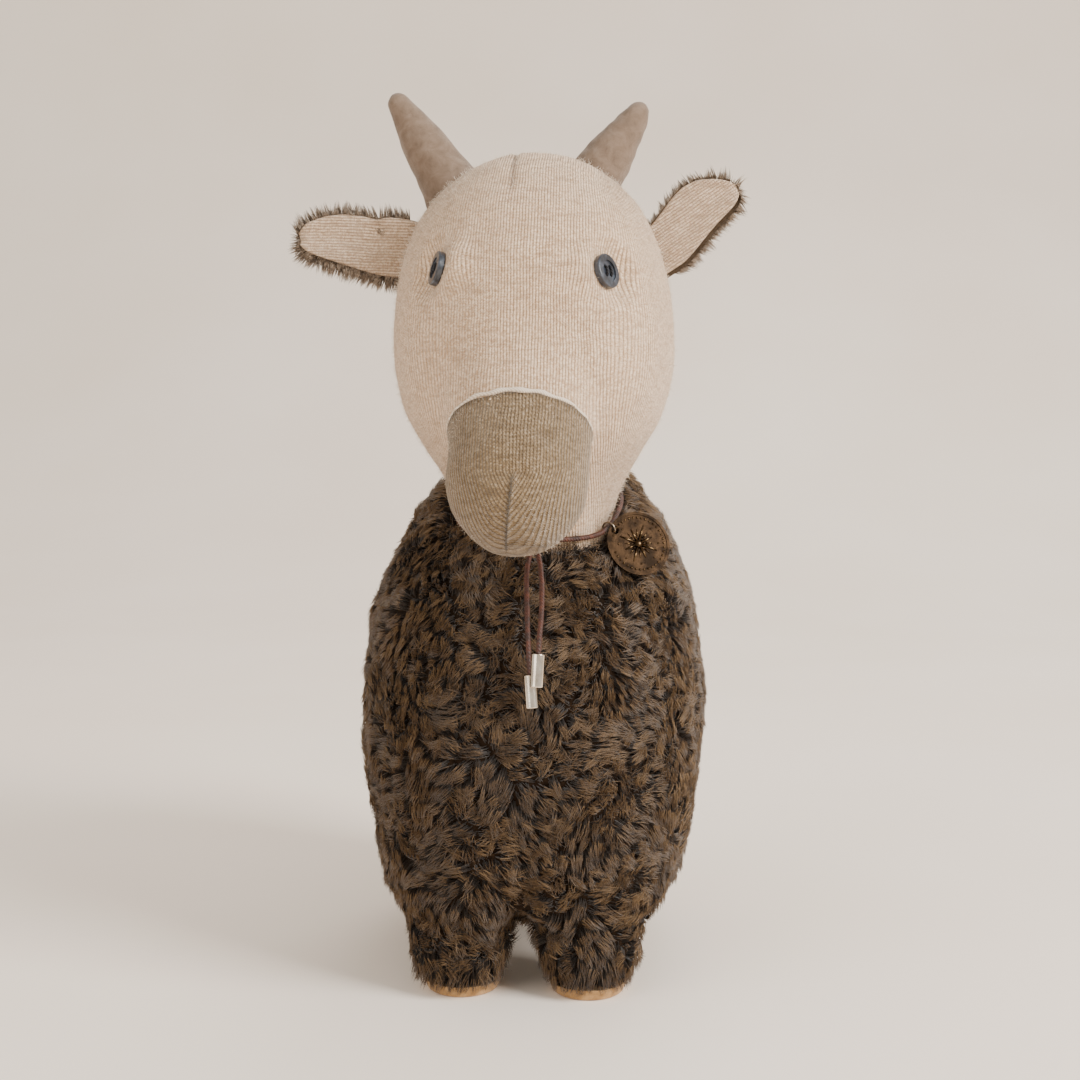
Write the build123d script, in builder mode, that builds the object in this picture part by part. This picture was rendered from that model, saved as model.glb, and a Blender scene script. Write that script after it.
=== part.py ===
from build123d import *
import math
import os

# A standing soft goat: fur body on four short legs, knitted head, cord and medal at the neck.
#
# The frame is in millimetres. +Z is up, the goat looks along -Y and its left side is +X.
# Z = 0 is the ground under the hooves, and X = 0 is the middle of the body.

os.makedirs("parts", exist_ok=True)

# ---- cloth ----
PILE = 5.0  # fur fabric: backing and pile together
KNIT = 1.4  # jersey with its backing
SUEDE = 1.0
POUCH_WALL = 0.8
WIDE = 400.0  # wider than the goat

# ---- body: (height, half width, front, back, squareness) of each level slice ----
LEG_TOP = 28.0
TORSO = [
    (LEG_TOP, 52.0, -62.0, 88.0, 3.0),
    (42.0, 56.0, -66.5, 96.0, 2.7),
    (62.0, 59.5, -71.0, 102.0, 2.5),
    (92.0, 62.0, -73.0, 105.0, 2.3),
    (115.0, 61.0, -69.5, 104.0, 2.2),
    (135.0, 57.0, -62.0, 100.0, 2.1),
    (150.0, 51.0, -50.0, 95.0, 2.0),
    (163.0, 44.0, -36.0, 88.0, 2.0),
    (174.0, 35.0, -17.0, 79.0, 2.0),
    (182.0, 23.0, 4.0, 66.0, 2.0),
    (186.0, 10.0, 20.0, 50.0, 2.0),
]

# ---- legs ----
BELLY_TOP = LEG_TOP + PILE
LEG_X = 21.5
LEG_FRONT_Y = -38.0
LEG_HIND_Y = 60.0
LEG_TOP_RADIUS = 20.0
LEG_MIDDLE_RADIUS = 18.4
LEG_MIDDLE = 14.5
LEG_FOOT_RADIUS = 13.5
HOOF_HEIGHT = 4.0
HOOF_FACE_RADIUS = 12.0
HOOF_EDGE = 1.2
LEG_OPENING = 14.0

# ---- head: the same kind of slices, from the throat up to the crown ----
HEAD_X = 2.5
HEAD_SIDE_SEAM_Y = -24.0
THROAT_SEAM_Z = 172.0
HEAD = [
    (148.0, 24.0, -44.0, 8.0, 2.0),
    (156.0, 25.0, -47.0, 8.5, 2.0),
    (165.0, 27.5, -52.5, 10.0, 2.0),
    (175.0, 31.5, -62.0, 13.0, 2.0),
    (186.0, 38.0, -73.5, 18.0, 2.0),
    (198.0, 44.0, -81.0, 22.0, 2.0),
    (212.0, 47.0, -85.0, 25.0, 2.0),
    (226.0, 47.0, -85.0, 25.5, 2.0),
    (241.0, 45.0, -81.5, 23.5, 2.0),
    (256.0, 40.5, -74.5, 18.5, 2.0),
    (268.0, 33.0, -64.0, 11.0, 2.0),
    (277.0, 22.5, -51.0, 0.5, 2.0),
    (282.0, 9.0, -36.0, -17.0, 2.0),
]
EYE_SLICE = 8

# ---- muzzle: turned about an axis that leans forward and down out of the head ----
MUZZLE_X = 1.2
MUZZLE_LEAN = 35.0
MUZZLE_SEAM_AT = (-73.4, 189.0)  # Y and Z where the axis crosses the seam
MUZZLE_SEAM_RADIUS = 22.2
MUZZLE_LENGTH = 40.9
MUZZLE_FULL_AT = 15.0
MUZZLE_FULL_RADIUS = 21.9
SNOUT_LENGTH = 39.0
SNOUT_RADIUS = 35.0
SEAM_THREAD_RADIUS = 0.45

# ---- ears ----
EAR_LENGTH = 34.0  # of the outline below, which is stretched to each ear
EAR_KNIT_THICK = 1.5
EAR_FUR_THICK = 3.5
EAR_FUR_MARGIN = 1.6
EAR_BASE_GAP = 0.8
EAR_BASE_THIN = 1.2
EAR_TAPER = 4.0
EAR_WIDTHS = [(6.0, 9.0), (14.0, 10.2), (24.0, 9.3), (31.0, 5.6)]
EAR_BASE_HALF = 9.5
# side: (hinge X, hinge Z, hinge line's lean from upright towards the head, ear's rise, its length, side sign)
EAR_Y = -30.0
EARS = {
    "right": (-43.6, 252.3, 13.0, 5.0, 33.4, -1),
    "left": (46.0, 252.5, 19.0, 37.0, 32.6, 1),
}

# ---- horns ----
HORN_Y = -16.0
HORN_ROOT_Z = 262.0
HORN_ROOT_RADIUS = 12.4
HORN_TIP_RADIUS = 3.4
# side: (root X, tip X, tip Z)
HORNS = {"right": (-19.6, -47.2, 306.4), "left": (13.2, 39.0, 302.4)}

# ---- eye buttons ----
EYE_RADIUS = 5.5
EYE_THICK = 2.2
EYE_WELL = 1.4
EYE_HOLE_RADIUS = 0.75
EYE_HOLE_SPREAD = 2.4
EYE_TURN = {"right": -38.0, "left": 35.0}  # angle round the slice, from straight ahead
EYE_TOE_OUT = {"right": 26.0, "left": 19.0}
EYE_DROP = {"right": 0.2, "left": 1.6}
EYE_TILT = 14.0
EYE_THREAD_RADIUS = 0.42
EYE_THREAD_RISE = 0.55
EYE_WELL_REACH = 8.0
EYE_EDGE = 0.5
EYE_DISH = 0.5
EYE_DISH_RADIUS = 3.4

# ---- cord, tips, ring and medal ----
CORD_RADIUS = 0.85
BEND_SHARE = 0.45  # of a run that one arc takes up
KNOT_AT = (4.0, -52.2, 155.6)
KNOT_RADIUS = 3.2
TIP_RADIUS = 2.1
TIP_LENGTH = 10.4
TIP_GRIP = 7.0
TIP_EDGE = 0.3
RING_RADIUS = 2.3
RING_WIRE = 0.28
RING_DROP = 0.8  # from the cord's middle to the ring's middle
RING_POCKET = 4.2
MEDAL_RADIUS = 11.2
MEDAL_THICK = 0.8
MEDAL_RIM = 0.25
MEDAL_RIM_WIDTH = 0.9
MEDAL_HOLE_RADIUS = 1.45
MEDAL_HOLE_INSET = 2.0
MEDAL_REST = 2.2  # how far the fur is pressed back from the medal
MEDAL_FACES = (0.35, -0.86, 0.37)
MEDAL_HANGS = (0.94, -0.34, -0.14)

# ---- ballast and tail ----
BALLAST = (66.0, 104.0, 26.0)
BALLAST_AT = (0.0, 14.0, 55.0)
BALLAST_EDGE = 6.0
TAIL_ROOT = (0.0, 105.6, 131.0)
TAIL_LENGTH = 34.0
TAIL_HALF = 8.0
TAIL_THICK = 4.0
TAIL_TILT = 3.0
TAIL_NARROW = 5.0
TAIL_EDGE = 1.6


def slice_at(height, x, half, front, back, squareness):
    """A closed level outline: a superellipse, which is an ellipse at a squareness of 2."""
    deep = (back - front) / 2
    middle = (back + front) / 2
    count = 24
    points = []
    for i in range(count):
        c = math.cos(2 * math.pi * i / count)
        s = math.sin(2 * math.pi * i / count)
        across = half * math.copysign(abs(c) ** (2 / squareness), c)
        along = deep * math.copysign(abs(s) ** (2 / squareness), s)
        points.append((x + across, middle + along))
    with BuildSketch(Plane.XY.offset(height)) as outline:
        with BuildLine():
            Spline(*points, periodic=True)
        make_face()
    return outline.sketch


def stack(slices, x, wall):
    """The slices of a soft form, drawn in by its wall."""
    low, high = slices[0][0], slices[-1][0]
    middle = (low + high) / 2
    squash = (high - low - 2 * wall) / (high - low)
    outlines = []
    for height, half, front, back, squareness in slices:
        level = middle + (height - middle) * squash
        outlines.append(slice_at(level, x, half - wall, front + wall, back - wall, squareness))
    return outlines


def write(piece, name):
    piece.part.label = name
    export_step(piece.part, f"parts/{name}.step")


# ---- the soft forms that the covers and fillings are cut from ----
with BuildPart() as torso_form:
    loft(stack(TORSO, 0, 0))

with BuildPart() as torso_core:
    loft(stack(TORSO, 0, PILE))

muzzle_frame = Plane(
    origin=(MUZZLE_X, *MUZZLE_SEAM_AT),
    x_dir=(1, 0, 0),
    z_dir=(0, -math.sin(math.radians(MUZZLE_LEAN)), -math.cos(math.radians(MUZZLE_LEAN))),
)
muzzle_side = Plane(origin=muzzle_frame.origin, x_dir=(1, 0, 0), z_dir=-muzzle_frame.y_dir)


muzzle_axis = Axis(muzzle_frame.origin, muzzle_frame.z_dir)


def muzzle_profile(wall):
    """Half the outline of the muzzle's rounded end, from its seam outwards."""
    with BuildSketch(muzzle_side) as outline:
        with BuildLine():
            rise = Spline(
                (MUZZLE_SEAM_RADIUS - wall, 0),
                (MUZZLE_FULL_RADIUS - wall, MUZZLE_FULL_AT),
                (0, MUZZLE_LENGTH - wall),
                tangents=[(0.25, 1), (-1, 0)],
            )
            Polyline(rise @ 1, (0, 0), rise @ 0)
        make_face()
    return outline.sketch


def snout_profile(wall):
    """Half the outline of the cone that carries the face down to the muzzle's seam."""
    with BuildSketch(muzzle_side) as outline:
        with BuildLine():
            Polyline(
                (0, 0),
                (MUZZLE_SEAM_RADIUS - wall, 0),
                (SNOUT_RADIUS - wall, -SNOUT_LENGTH),
                (0, -SNOUT_LENGTH),
                close=True,
            )
        make_face()
    return outline.sketch


with BuildPart() as head_form:
    loft(stack(HEAD, HEAD_X, 0))
    revolve(snout_profile(0), axis=muzzle_axis)

with BuildPart() as head_core:
    loft(stack(HEAD, HEAD_X, KNIT))
    revolve(snout_profile(KNIT), axis=muzzle_axis)

with BuildPart() as muzzle_form:
    revolve(muzzle_profile(0), axis=muzzle_axis)

with BuildPart() as muzzle_core:
    revolve(muzzle_profile(KNIT), axis=muzzle_axis)

with BuildPart() as above_belly:
    with Locations((0, 0, BELLY_TOP)):
        Box(WIDE, WIDE, WIDE, align=(Align.CENTER, Align.CENTER, Align.MIN))

# ---- the route of the neck cord, all in one loop from the knot round the neck ----
NECK_ROUTE = [
    (6.6, -51.0, 155.4),
    (11.5, -47.6, 154.6),
    (17.5, -43.8, 154.7),
    (21.2, -41.6, 155.0),
    (25.4, -37.2, 155.9),
    (29.4, -30.0, 159.3),
    (32.4, -16.4, 166.2),
    (30.6, -6.0, 171.6),
    (27.2, 3.0, 176.6),
    (21.6, 11.0, 181.6),
    (13.4, 17.6, 185.8),
    (2.5, 20.6, 187.4),
    (-8.4, 17.6, 185.8),
    (-16.6, 11.0, 181.6),
    (-22.0, 3.0, 176.6),
    (-25.2, -6.0, 171.4),
    (-26.4, -14.6, 166.8),
    (-25.6, -22.8, 162.4),
    (-23.0, -30.6, 158.6),
    (-18.6, -37.4, 156.2),
    (-12.6, -43.0, 154.8),
    (-5.6, -47.2, 154.4),
    (1.4, -51.2, 155.3),
]
BACK_CORD_ROUTE = [
    (3.4, -53.6, 152.2),
    (2.0, -57.4, 147.0),
    (2.6, -63.6, 138.2),
    (3.3, -69.6, 128.5),
    (4.1, -73.6, 117.5),
    (5.0, -75.4, 106.9),
]
FRONT_CORD_ROUTE = [
    (4.4, -56.0, 154.9),
    (6.4, -60.6, 149.8),
    (7.7, -66.4, 143.0),
    (8.1, -72.8, 134.2),
    (7.5, -77.6, 124.3),
    (7.05, -79.6, 114.2),
]
RING_STRETCH = 4  # the ring hangs on the neck route's run from this point to the next


def bend_radii(route):
    """Each corner's arc: as large as its two runs allow."""
    radii = []
    for before, corner, after in zip(route, route[1:], route[2:]):
        arriving = Vector(*corner) - Vector(*before)
        leaving = Vector(*after) - Vector(*corner)
        half_turn = math.radians(arriving.get_angle(leaving)) / 2
        radii.append(BEND_SHARE * min(arriving.length, leaving.length) / math.tan(half_turn))
    return radii


def cord(route, name):
    """A round cord along straight runs joined by tangent arcs."""
    radii = bend_radii(route)
    with BuildPart() as tube:
        with BuildLine() as path:
            FilletPolyline(*route, radius=radii)
        middle = path.wire()
        with BuildSketch(Plane(origin=middle @ 0, z_dir=middle % 0)):
            Circle(CORD_RADIUS)
        sweep(path=middle)
    expected = math.pi * CORD_RADIUS**2 * middle.length
    print(name, "length", round(middle.length, 2), "radii", [round(r, 1) for r in radii])
    print(name, "volume", round(tube.part.volume, 3), "section x length", round(expected, 3))
    write(tube, name)
    return tube


# ---- neck cord and knot ----
neck_cord = cord(NECK_ROUTE, "neck_cord")

with BuildPart() as cord_knot:
    with Locations(KNOT_AT):
        Sphere(KNOT_RADIUS)
    add(neck_cord.part, mode=Mode.SUBTRACT)
write(cord_knot, "cord_knot")

ring_at = (Vector(*NECK_ROUTE[RING_STRETCH]) + Vector(*NECK_ROUTE[RING_STRETCH + 1])) * 0.5
cord_along = (Vector(*NECK_ROUTE[RING_STRETCH + 1]) - Vector(*NECK_ROUTE[RING_STRETCH])).normalized()

# ---- where the ring and the medal hang ----
medal_normal = Vector(*MEDAL_FACES).normalized()
ring_down = Vector(*MEDAL_HANGS)
ring_down = (ring_down - cord_along * ring_down.dot(cord_along)).normalized()
ring_middle = ring_at + ring_down * RING_DROP
hang_point = ring_middle + ring_down * RING_RADIUS
wire_along = cord_along.cross(ring_down)
medal_along = (ring_down - medal_normal * ring_down.dot(medal_normal)).normalized()
medal_middle = hang_point + medal_along * (MEDAL_RADIUS - MEDAL_HOLE_INSET)
medal_plane = Plane(origin=medal_middle, x_dir=-medal_along, z_dir=medal_normal)

# room pressed into the covers by the cord, the knot, the ring and the medal
with BuildPart() as neck_room:
    add(neck_cord.part)
    with Locations(KNOT_AT):
        Sphere(KNOT_RADIUS)
    with Locations(ring_at):
        Sphere(RING_POCKET)
    with BuildSketch(medal_plane.offset(-MEDAL_THICK / 2 - MEDAL_REST)):
        Circle(MEDAL_RADIUS + MEDAL_REST)
    extrude(amount=MEDAL_THICK + 2 * MEDAL_REST)

# ---- fur body ----
for side, keep_side in (("left", Keep.TOP), ("right", Keep.BOTTOM)):
    with BuildPart() as flank:
        add(torso_form.part)
        add(torso_core.part, mode=Mode.SUBTRACT)
        add(head_form.part, mode=Mode.SUBTRACT)
        add(neck_room.part, mode=Mode.SUBTRACT)
        add(above_belly.part, mode=Mode.INTERSECT)
        split(bisect_by=Plane.YZ, keep=keep_side)
    write(flank, f"{side}_flank_cover")

LEG_PLACES = [
    (side * LEG_X, y, f"{end}_{name}")
    for side, name in ((-1, "right"), (1, "left"))
    for y, end in ((LEG_FRONT_Y, "front"), (LEG_HIND_Y, "hind"))
]

with BuildPart() as belly_gusset:
    add(torso_form.part)
    split(bisect_by=Plane.XY.offset(BELLY_TOP), keep=Keep.BOTTOM)
    with Locations(*[(x, y, LEG_TOP) for x, y, _ in LEG_PLACES]):
        Cylinder(LEG_OPENING, WIDE, mode=Mode.SUBTRACT)
write(belly_gusset, "belly_gusset")


# ---- legs ----
def leg_profile(plane, wall, low):
    """Half the outline of a leg, from its foot up to the belly."""
    with BuildSketch(plane) as outline:
        with BuildLine():
            side = ThreePointArc(
                (LEG_FOOT_RADIUS - wall, low),
                (LEG_MIDDLE_RADIUS - wall, LEG_MIDDLE),
                (LEG_TOP_RADIUS - wall, LEG_TOP),
            )
            Polyline(side @ 1, (0, LEG_TOP), (0, low), side @ 0)
        make_face()
    return outline.sketch


for x, y, place in LEG_PLACES:
    leg_side = Plane(origin=(x, y, 0), x_dir=(1, 0, 0), z_dir=(0, -1, 0))
    leg_axis = Axis((x, y, 0), (0, 0, 1))
    with BuildPart() as leg_cover:
        revolve(leg_profile(leg_side, 0, HOOF_HEIGHT), axis=leg_axis)
        revolve(leg_profile(leg_side, PILE, HOOF_HEIGHT), axis=leg_axis, mode=Mode.SUBTRACT)
    write(leg_cover, f"{place}_leg_cover")

    with BuildPart() as hoof_sole:
        with BuildSketch(Plane((x, y, 0))):
            Circle(HOOF_FACE_RADIUS)
        with BuildSketch(Plane((x, y, HOOF_HEIGHT))):
            Circle(LEG_FOOT_RADIUS)
        loft()
        fillet(hoof_sole.edges().sort_by(Axis.Z)[0], HOOF_EDGE)
    write(hoof_sole, f"{place}_hoof_sole")

with BuildPart() as leg_stuffing:
    for x, y, _ in LEG_PLACES:
        leg_side = Plane(origin=(x, y, 0), x_dir=(1, 0, 0), z_dir=(0, -1, 0))
        revolve(leg_profile(leg_side, PILE, HOOF_HEIGHT), axis=Axis((x, y, 0), (0, 0, 1)))
        with Locations((x, y, LEG_TOP)):
            Cylinder(LEG_OPENING, PILE, align=(Align.CENTER, Align.CENTER, Align.MIN))
write(leg_stuffing, "leg_stuffing")

# ---- ballast and body stuffing ----
with BuildPart() as ballast_form:
    with Locations(BALLAST_AT):
        Box(*BALLAST)
    fillet(ballast_form.edges(), BALLAST_EDGE)

with BuildPart() as ballast_pellets:
    with Locations(BALLAST_AT):
        Box(*[side - 2 * POUCH_WALL for side in BALLAST])
    fillet(ballast_pellets.edges(), BALLAST_EDGE - POUCH_WALL)
write(ballast_pellets, "ballast_pellets")

with BuildPart() as ballast_pouch:
    add(ballast_form.part)
    add(ballast_pellets.part, mode=Mode.SUBTRACT)
write(ballast_pouch, "ballast_pouch")

with BuildPart() as body_stuffing:
    add(torso_core.part)
    add(head_form.part, mode=Mode.SUBTRACT)
    add(ballast_form.part, mode=Mode.SUBTRACT)
    add(neck_room.part, mode=Mode.SUBTRACT)
write(body_stuffing, "body_stuffing")


# ---- eye buttons ----
def eye_plane(side):
    """The plane of a button's back: pulled into the head's surface, tilted up and turned out."""
    turn = EYE_TURN[side]
    height, half, front, back, _ = HEAD[EYE_SLICE]
    deep = (back - front) / 2
    angle = math.radians(turn)
    across = HEAD_X + half * math.sin(angle)
    along = (front + back) / 2 - deep * math.cos(angle)
    outward = math.atan2(math.sin(angle) / half, math.cos(angle) / deep)
    outward += math.copysign(math.radians(EYE_TOE_OUT[side]), turn)
    rise = math.radians(EYE_TILT)
    normal = Vector(
        math.sin(outward) * math.cos(rise),
        -math.cos(outward) * math.cos(rise),
        math.sin(rise),
    )
    level = Vector(0, 0, 1).cross(normal)
    return Plane(origin=Vector(across, along, height - EYE_DROP[side]) - normal * EYE_WELL, x_dir=level, z_dir=normal)


with BuildPart() as eye_wells:
    for side in EYE_TURN:
        with BuildSketch(eye_plane(side)):
            Circle(EYE_RADIUS)
        extrude(amount=EYE_WELL_REACH)

for side in EYE_TURN:
    back = eye_plane(side)
    with BuildPart() as eye_button:
        with BuildSketch(back):
            Circle(EYE_RADIUS)
        extrude(amount=EYE_THICK)
        fillet(eye_button.edges().filter_by(GeomType.CIRCLE), EYE_EDGE)
        with BuildSketch(back.offset(EYE_THICK)):
            Circle(EYE_DISH_RADIUS)
        extrude(amount=-EYE_DISH, mode=Mode.SUBTRACT)
        with BuildSketch(back):
            with GridLocations(EYE_HOLE_SPREAD, EYE_HOLE_SPREAD, 2, 2):
                Circle(EYE_HOLE_RADIUS)
        extrude(amount=EYE_THICK, mode=Mode.SUBTRACT)
    write(eye_button, f"{side}_eye_button")

    half_spread = EYE_HOLE_SPREAD / 2
    top = EYE_THICK - EYE_DISH + EYE_THREAD_RISE
    with BuildPart() as eye_thread:
        for column in (-half_spread, half_spread):
            staple_side = Plane(
                origin=back.from_local_coords((column, 0, 0)), x_dir=back.y_dir, z_dir=back.x_dir
            )
            with BuildLine(staple_side) as staple:
                FilletPolyline(
                    (-half_spread, 0),
                    (-half_spread, top),
                    (half_spread, top),
                    (half_spread, 0),
                    radius=EYE_THREAD_RADIUS * 1.2,
                )
            strand = staple.wire()
            with BuildSketch(Plane(origin=strand @ 0, z_dir=strand % 0)):
                Circle(EYE_THREAD_RADIUS)
            sweep(path=strand)
    write(eye_thread, f"{side}_eye_thread")


# ---- horns ----
def horn_profile(plane, length, wall):
    """Half the outline of a round-ended cone; the length runs to the middle of its rounded end."""
    root = HORN_ROOT_RADIUS - wall
    tip = HORN_TIP_RADIUS - wall
    slope = math.asin((root - tip) / length)
    shoulder = (tip * math.cos(slope), length + tip * math.sin(slope))
    bend = math.radians(45) + slope / 2
    with BuildSketch(plane) as outline:
        with BuildLine():
            rise = Line((root, 0), shoulder)
            crown = ThreePointArc(
                rise @ 1,
                (tip * math.cos(bend), length + tip * math.sin(bend)),
                (0, length + tip),
            )
            Polyline(crown @ 1, (0, 0), rise @ 0)
        make_face()
    return outline.sketch


for side, (root_x, tip_x, tip_z) in HORNS.items():
    root = Vector(root_x, HORN_Y, HORN_ROOT_Z)
    horn_line = Vector(tip_x, HORN_Y, tip_z) - root
    horn_length = horn_line.length - HORN_TIP_RADIUS
    horn_side = Plane(origin=root, x_dir=Vector(0, 1, 0).cross(horn_line), z_dir=(0, 1, 0))
    if horn_side.y_dir.dot(horn_line) < 0:
        horn_side = Plane(origin=root, x_dir=horn_side.x_dir, z_dir=(0, -1, 0))
    horn_axis = Axis(root, horn_line)
    with BuildPart() as horn_cover:
        revolve(horn_profile(horn_side, horn_length, 0), axis=horn_axis)
        revolve(horn_profile(horn_side, horn_length, SUEDE), axis=horn_axis, mode=Mode.SUBTRACT)
        add(head_form.part, mode=Mode.SUBTRACT)
    write(horn_cover, f"{side}_horn_cover")

    with BuildPart() as horn_stuffing:
        revolve(horn_profile(horn_side, horn_length, SUEDE), axis=horn_axis)
        add(head_form.part, mode=Mode.SUBTRACT)
    write(horn_stuffing, f"{side}_horn_stuffing")

# ---- knitted head ----
with BuildPart() as head_stuffing:
    add(head_core.part)
    add(muzzle_core.part)
    add(eye_wells.part, mode=Mode.SUBTRACT)
write(head_stuffing, "head_stuffing")

with BuildPart() as head_shell:
    add(head_form.part)
    add(head_stuffing.part, mode=Mode.SUBTRACT)
    add(eye_wells.part, mode=Mode.SUBTRACT)
    add(neck_room.part, mode=Mode.SUBTRACT)

with BuildPart() as muzzle_cap:
    add(muzzle_form.part)
    add(head_form.part, mode=Mode.SUBTRACT)
    add(head_stuffing.part, mode=Mode.SUBTRACT)
write(muzzle_cap, "muzzle_cap")

side_seam = Plane.XZ.offset(-HEAD_SIDE_SEAM_Y)
throat_seam = Plane.XY.offset(THROAT_SEAM_Z)
nape_seam = Plane.YZ.offset(HEAD_X)

with BuildPart() as face_panel:
    add(head_shell.part)
    split(bisect_by=side_seam, keep=Keep.TOP)
    split(bisect_by=throat_seam, keep=Keep.TOP)
write(face_panel, "face_panel")

with BuildPart() as throat_gusset:
    add(head_shell.part)
    split(bisect_by=side_seam, keep=Keep.TOP)
    split(bisect_by=throat_seam, keep=Keep.BOTTOM)
write(throat_gusset, "throat_gusset")

for side, keep_side in (("left", Keep.TOP), ("right", Keep.BOTTOM)):
    with BuildPart() as head_back:
        add(head_shell.part)
        split(bisect_by=side_seam, keep=Keep.BOTTOM)
        split(bisect_by=nape_seam, keep=keep_side)
    write(head_back, f"head_back_{side}")

with BuildPart() as muzzle_seam_thread:
    with BuildSketch(muzzle_side):
        with Locations((MUZZLE_SEAM_RADIUS, 0)):
            Circle(SEAM_THREAD_RADIUS)
    revolve(axis=muzzle_axis)
    add(head_form.part, mode=Mode.SUBTRACT)
    add(muzzle_form.part, mode=Mode.SUBTRACT)
write(muzzle_seam_thread, "muzzle_seam_thread")


# ---- ears: a knit front and a fur back, sewn to the head along one straight line ----
def ear_outline(plane, base, length, margin):
    """An ear lies along the plane's X; base is half the sewn edge, from its middle."""
    top = math.copysign(1, base.Y)
    upper = [(x * length / EAR_LENGTH, top * (y + margin)) for x, y in EAR_WIDTHS]
    lower = [(x, -y) for x, y in reversed(upper)]
    grown = base * ((base.length + margin) / base.length)
    with BuildSketch(plane) as outline:
        with BuildLine():
            Spline((grown.X, grown.Y), *upper, (length + margin, 0), *lower, (-grown.X, -grown.Y))
            Line((-grown.X, -grown.Y), (grown.X, grown.Y))
        make_face()
    return outline.sketch


for side, (hinge_x, hinge_z, lean, rise, length, sign) in EARS.items():
    lean, rise = math.radians(lean), math.radians(rise)
    sewn_along = Vector(-sign * math.sin(lean), 0, math.cos(lean))
    ear_along = Vector(sign * math.cos(rise), 0, math.sin(rise))
    clear = Vector(sign * math.cos(lean), 0, math.sin(lean)) * EAR_BASE_GAP
    ear_plane = Plane(
        origin=Vector(hinge_x, EAR_Y, hinge_z) + clear, x_dir=ear_along, z_dir=(0, -1, 0)
    )
    base = Vector(sewn_along.dot(ear_plane.x_dir), sewn_along.dot(ear_plane.y_dir)) * EAR_BASE_HALF
    for layer, thick, margin, direction in (
        ("knit", EAR_KNIT_THICK, 0, 1),
        ("fur", EAR_FUR_THICK, EAR_FUR_MARGIN, -1),
    ):
        with BuildPart() as ear:
            extrude(ear_outline(ear_plane, base, length, margin), amount=direction * thick)
            faces = ear.faces().filter_by(GeomType.PLANE).sort_by(Axis.Y)
            outer = faces[0] if direction > 0 else faces[-1]
            sewn_edge = outer.edges().filter_by(GeomType.LINE)
            chamfer(sewn_edge, length=EAR_TAPER, length2=thick - EAR_BASE_THIN / 2, reference=outer)
        write(ear, f"{side}_ear_{layer}")

# ---- tail ----
tail_plane = Plane(
    origin=TAIL_ROOT,
    x_dir=(1, 0, 0),
    z_dir=(0, -math.cos(math.radians(TAIL_TILT)), -math.sin(math.radians(TAIL_TILT))),
)
with BuildPart() as tail:
    with BuildSketch(tail_plane.offset(-TAIL_THICK / 2)):
        with BuildLine():
            Line((-TAIL_NARROW, 0), (TAIL_NARROW, 0))
            side_edge = Spline(
                (TAIL_NARROW, 0),
                (TAIL_HALF, -TAIL_LENGTH * 0.55),
                (0, -TAIL_LENGTH),
                tangents=[(0.3, -1), (-1, 0)],
            )
            mirror(side_edge, about=Plane.YZ)
        make_face()
    extrude(amount=TAIL_THICK)
    fillet(tail.faces().filter_by(GeomType.PLANE).sort_by(Axis.Y)[-1].edges(), TAIL_EDGE)
write(tail, "tail")

# ---- the two free ends of the cord, each with a tube crimped on ----
for name, route in (("back", BACK_CORD_ROUTE), ("front", FRONT_CORD_ROUTE)):
    hanging = cord(route, f"{name}_hanging_cord")
    end = Vector(*route[-1])
    downward = (end - Vector(*route[-2])).normalized()
    mouth = Plane(origin=end - downward * TIP_GRIP, z_dir=downward)
    with BuildPart() as cord_tip:
        with BuildSketch(mouth):
            Circle(TIP_RADIUS)
        extrude(amount=TIP_LENGTH)
        fillet(cord_tip.edges().filter_by(GeomType.CIRCLE), TIP_EDGE)
        with BuildSketch(mouth):
            Circle(CORD_RADIUS)
        extrude(amount=TIP_GRIP, mode=Mode.SUBTRACT)
    write(cord_tip, f"{name}_cord_tip")

# ---- jump ring and medal ----
with BuildPart() as jump_ring:
    with BuildSketch(Plane(origin=ring_middle, x_dir=ring_down, z_dir=wire_along)):
        with Locations((RING_RADIUS, 0)):
            Circle(RING_WIRE)
    revolve(axis=Axis(ring_middle, cord_along))
write(jump_ring, "jump_ring")

with BuildPart() as medal:
    with BuildSketch(medal_plane.offset(-MEDAL_THICK / 2)):
        Circle(MEDAL_RADIUS)
    extrude(amount=MEDAL_THICK - MEDAL_RIM)
    with BuildSketch(medal_plane.offset(MEDAL_THICK / 2 - MEDAL_RIM)):
        Circle(MEDAL_RADIUS)
        Circle(MEDAL_RADIUS - MEDAL_RIM_WIDTH, mode=Mode.SUBTRACT)
    extrude(amount=MEDAL_RIM)
    with BuildSketch(medal_plane.offset(-MEDAL_THICK)):
        with Locations((MEDAL_RADIUS - MEDAL_HOLE_INSET, 0)):
            Circle(MEDAL_HOLE_RADIUS)
    extrude(amount=2 * MEDAL_THICK, mode=Mode.SUBTRACT)
write(medal, "medal")

print("ring swings about", ring_at, "along", cord_along)
print("medal swings about", hang_point, "along", wire_along, "middle", medal_middle, "along", medal_along)
for side, (hinge_x, hinge_z, lean, rise, length, sign) in EARS.items():
    lean = math.radians(lean)
    at = (
        hinge_x + sign * math.cos(lean) * EAR_BASE_GAP,
        EAR_Y,
        hinge_z + math.sin(lean) * EAR_BASE_GAP,
    )
    print(side, "ear bends about", at, "along", (-sign * math.sin(lean), 0, math.cos(lean)))
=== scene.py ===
import math

import bpy
import numpy as np
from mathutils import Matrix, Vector
from mathutils.bvhtree import BVHTree
from mathutils.kdtree import KDTree


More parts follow.
